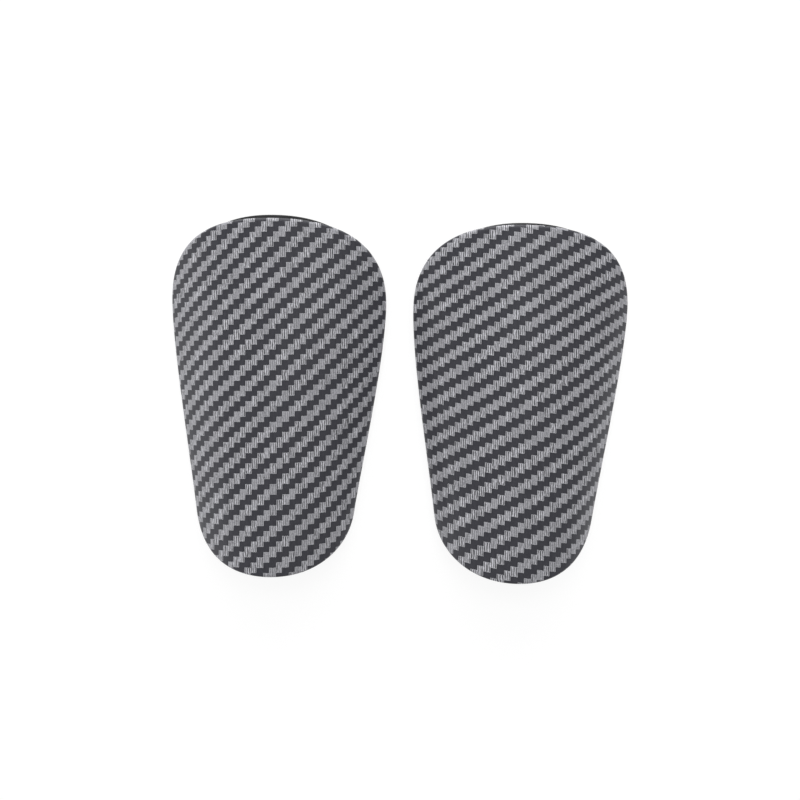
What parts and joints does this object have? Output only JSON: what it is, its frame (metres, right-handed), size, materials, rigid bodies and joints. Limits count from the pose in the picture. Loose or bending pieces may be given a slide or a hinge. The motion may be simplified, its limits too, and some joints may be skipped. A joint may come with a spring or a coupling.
{
  "type": "shin guard pair",
  "caption": "Pair of slip-in shin guards: arched, tapering hard shells with a woven-look printed face, backed by vented foam and a knit lining.",
  "frame": {"origin": "on the table, under the middle of the pair's bounding box", "axes": "+Z away from the leg, out of the hard faces; +Y towards the knee, the wide end; +X from the left guard to the right guard"},
  "size_m": [0.1816, 0.1412, 0.024],
  "materials": {
    "printed_film": "semi-gloss clear film over a grey and black twill print",
    "shell_plastic": "satin moulded polypropylene",
    "glue": "dull, milky pressure-sensitive film",
    "foam": "matt closed-cell EVA foam",
    "lining_knit": "fine brushed polyester knit"
  },
  "bodies": {
    "left_guard": {"left_printed_film": "printed_film", "left_shell": "shell_plastic", "left_glue_sheet": "glue", "left_foam_pad": "foam", "left_lining": "lining_knit"},
    "right_guard": {"right_printed_film": "printed_film", "right_shell": "shell_plastic", "right_glue_sheet": "glue", "right_foam_pad": "foam", "right_lining": "lining_knit"}
  },
  "joints": [
    {"name": "right_guard_apart", "type": "slide", "parent": "left_guard", "child": "right_guard", "axis": [1, 0, 0], "range_m": [0, 0.1]}
  ]
}
